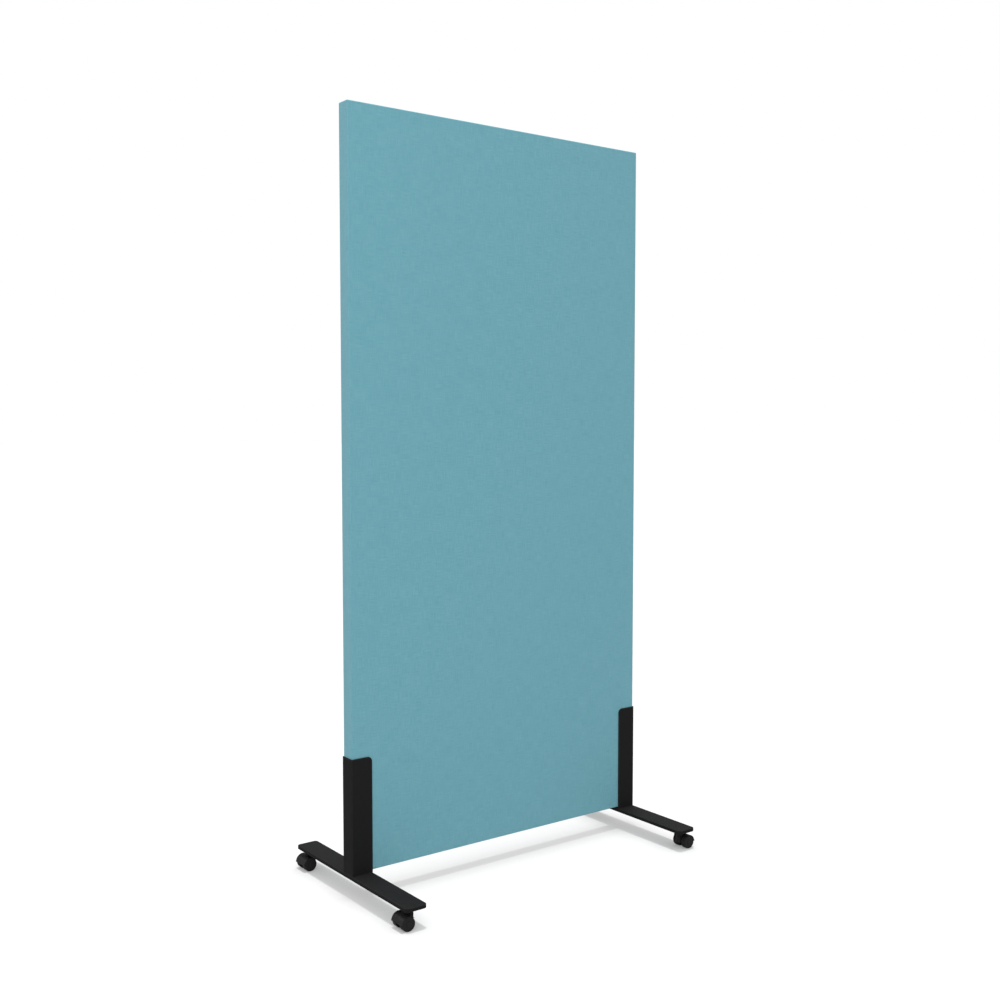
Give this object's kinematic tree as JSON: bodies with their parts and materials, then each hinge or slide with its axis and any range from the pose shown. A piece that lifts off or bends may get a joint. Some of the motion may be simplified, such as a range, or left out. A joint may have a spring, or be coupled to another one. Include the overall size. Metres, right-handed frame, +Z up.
{
  "type": "rolling partition",
  "caption": "Tall fabric-covered screen panel held in two folded steel uprights on flat feet with small hooded twin-wheel casters.",
  "frame": {"origin": "on the floor under the middle of the panel", "axes": "+Z up, X along the panel, -Y the front face that the picture shows"},
  "size_m": [0.8182, 0.46, 1.655],
  "materials": {
    "panel_fabric": "matte",
    "wadding": "matte",
    "timber": "matte",
    "fibre_board": "matte",
    "closing_strip": "matte",
    "coated_steel": "satin",
    "bright_steel": "satin",
    "blackened_steel": "satin",
    "brass": "satin",
    "housing_nylon": "satin",
    "wheel_nylon": "matte"
  },
  "bodies": {
    "partition": {"fabric_cover": "panel_fabric", "front_wadding": "wadding", "back_wadding": "wadding", "top_rail": "timber", "bottom_rail": "timber", "acoustic_core": "fibre_board", "frame_dowels": "timber", "bottom_strip": "closing_strip", "strip_staples": "bright_steel", "left_stile": "timber", "left_upright": "coated_steel", "left_seat_plate": "coated_steel", "left_foot_plate": "coated_steel", "left_foot_screws": "bright_steel", "left_panel_screws": "bright_steel", "left_panel_inserts": "brass", "right_stile": "timber", "right_upright": "coated_steel", "right_seat_plate": "coated_steel", "right_foot_plate": "coated_steel", "right_foot_screws": "bright_steel", "right_panel_screws": "bright_steel", "right_panel_inserts": "brass", "front_left_stem": "blackened_steel", "front_left_stem_ring": "blackened_steel", "front_right_stem": "blackened_steel", "front_right_stem_ring": "blackened_steel", "rear_left_stem": "blackened_steel", "rear_left_stem_ring": "blackened_steel", "rear_right_stem": "blackened_steel", "rear_right_stem_ring": "blackened_steel"},
    "front_left_caster": {"front_left_hood": "housing_nylon", "front_left_axle": "bright_steel"},
    "front_left_outer": {"front_left_outer_wheel": "wheel_nylon"},
    "front_left_inner": {"front_left_inner_wheel": "wheel_nylon"},
    "front_right_caster": {"front_right_hood": "housing_nylon", "front_right_axle": "bright_steel"},
    "front_right_outer": {"front_right_outer_wheel": "wheel_nylon"},
    "front_right_inner": {"front_right_inner_wheel": "wheel_nylon"},
    "rear_left_caster": {"rear_left_hood": "housing_nylon", "rear_left_axle": "bright_steel"},
    "rear_left_outer": {"rear_left_outer_wheel": "wheel_nylon"},
    "rear_left_inner": {"rear_left_inner_wheel": "wheel_nylon"},
    "rear_right_caster": {"rear_right_hood": "housing_nylon", "rear_right_axle": "bright_steel"},
    "rear_right_outer": {"rear_right_outer_wheel": "wheel_nylon"},
    "rear_right_inner": {"rear_right_inner_wheel": "wheel_nylon"}
  },
  "joints": [
    {"name": "front_left_swivel", "type": "hinge", "parent": "partition", "child": "front_left_caster", "pos_m": [-0.3775, -0.203, 0.03], "axis": [0, 0, 1], "continuous": true},
    {"name": "front_left_outer_spin", "type": "hinge", "parent": "front_left_caster", "child": "front_left_outer", "pos_m": [-0.392, -0.21635, 0.015], "axis": [0, 1, 0], "continuous": true},
    {"name": "front_left_inner_spin", "type": "hinge", "parent": "front_left_caster", "child": "front_left_inner", "pos_m": [-0.392, -0.18965, 0.015], "axis": [0, 1, 0], "continuous": true},
    {"name": "front_right_swivel", "type": "hinge", "parent": "partition", "child": "front_right_caster", "pos_m": [0.3775, -0.203, 0.03], "axis": [0, 0, 1], "continuous": true},
    {"name": "front_right_outer_spin", "type": "hinge", "parent": "front_right_caster", "child": "front_right_outer", "pos_m": [0.392, -0.21635, 0.015], "axis": [0, 1, 0], "continuous": true},
    {"name": "front_right_inner_spin", "type": "hinge", "parent": "front_right_caster", "child": "front_right_inner", "pos_m": [0.392, -0.18965, 0.015], "axis": [0, 1, 0], "continuous": true},
    {"name": "rear_left_swivel", "type": "hinge", "parent": "partition", "child": "rear_left_caster", "pos_m": [-0.3775, 0.203, 0.03], "axis": [0, 0, 1], "continuous": true},
    {"name": "rear_left_outer_spin", "type": "hinge", "parent": "rear_left_caster", "child": "rear_left_outer", "pos_m": [-0.392, 0.21635, 0.015], "axis": [0, 1, 0], "continuous": true},
    {"name": "rear_left_inner_spin", "type": "hinge", "parent": "rear_left_caster", "child": "rear_left_inner", "pos_m": [-0.392, 0.18965, 0.015], "axis": [0, 1, 0], "continuous": true},
    {"name": "rear_right_swivel", "type": "hinge", "parent": "partition", "child": "rear_right_caster", "pos_m": [0.3775, 0.203, 0.03], "axis": [0, 0, 1], "continuous": true},
    {"name": "rear_right_outer_spin", "type": "hinge", "parent": "rear_right_caster", "child": "rear_right_outer", "pos_m": [0.392, 0.21635, 0.015], "axis": [0, 1, 0], "continuous": true},
    {"name": "rear_right_inner_spin", "type": "hinge", "parent": "rear_right_caster", "child": "rear_right_inner", "pos_m": [0.392, 0.18965, 0.015], "axis": [0, 1, 0], "continuous": true}
  ]
}
